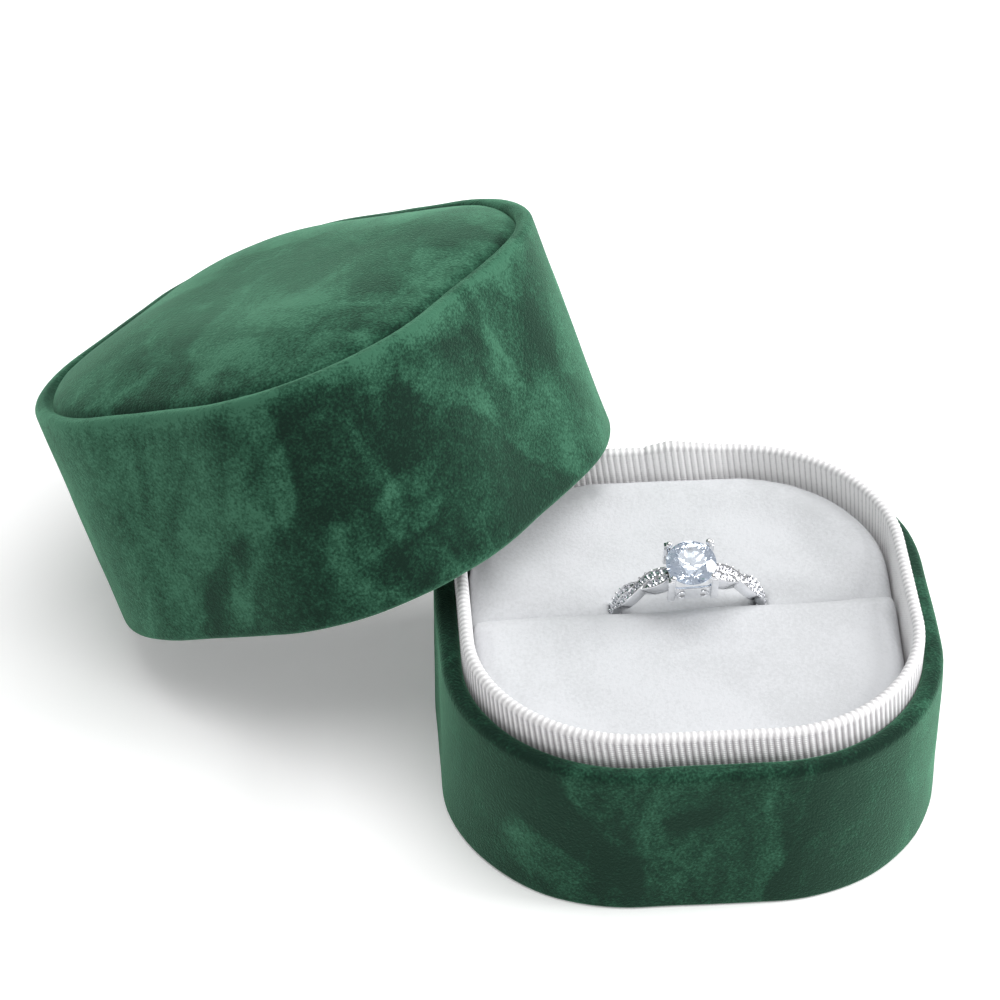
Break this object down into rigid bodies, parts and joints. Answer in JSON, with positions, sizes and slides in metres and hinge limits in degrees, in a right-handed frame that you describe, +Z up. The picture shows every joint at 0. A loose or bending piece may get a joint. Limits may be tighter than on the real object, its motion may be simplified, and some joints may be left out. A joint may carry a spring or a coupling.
{
  "type": "ring box with lift-off lid",
  "caption": "Rounded-square velvet ring box, lid set down leaning against the base, with a solitaire ring in the slit between two velvet pads.",
  "frame": {"origin": "centre of the base's underside, on the surface that the box stands on", "axes": "+X along the slit between the pads, to the ring's right; -Y to the front, towards the viewer; +Z up, out of the open base"},
  "size_m": [0.1082, 0.0981, 0.0547],
  "materials": {
    "velvet_green": "crushed emerald velvet, short pile",
    "board_grey": "raw grey board, hidden",
    "card_white": "white card, hidden by the ribbon",
    "ribbon_white": "ribbed grosgrain ribbon",
    "velvet_white": "white velvet, very short pile",
    "foam_white": "soft foam block, hidden",
    "lining_white": "smooth white lining cloth",
    "cover_green": "dark green paper-backed cover sheet",
    "ring_metal": "bright rhodium-plated silver, polished",
    "stone_clear": "clear brilliant-cut stone"
  },
  "bodies": {
    "base": {"base_velvet": "velvet_green", "base_wall_board": "board_grey", "base_floor_board": "board_grey", "base_bottom_cover": "cover_green", "neck_card": "card_white", "neck_ribbon": "ribbon_white", "pad_foam_front": "foam_white", "pad_velvet_front": "velvet_white", "pad_foam_rear": "foam_white", "pad_velvet_rear": "velvet_white"},
    "lid": {"lid_velvet": "velvet_green", "lid_wall_board": "board_grey", "lid_lining": "lining_white", "lid_top_board": "board_grey", "lid_top_foam": "foam_white", "lid_top_velvet": "velvet_green", "lid_ceiling_pad": "lining_white"},
    "ring": {"ring_shank": "ring_metal", "ring_head": "ring_metal", "centre_stone": "stone_clear", "pave_stones": "stone_clear"}
  },
  "joints": [
    {"name": "lid_lift", "type": "slide", "parent": "base", "child": "lid", "axis": [0, 0, 1], "range_m": [0, 0.05]},
    {"name": "ring_lift", "type": "slide", "parent": "base", "child": "ring", "axis": [0.009, -0.3419, 0.9397], "range_m": [0, 0.022]}
  ]
}
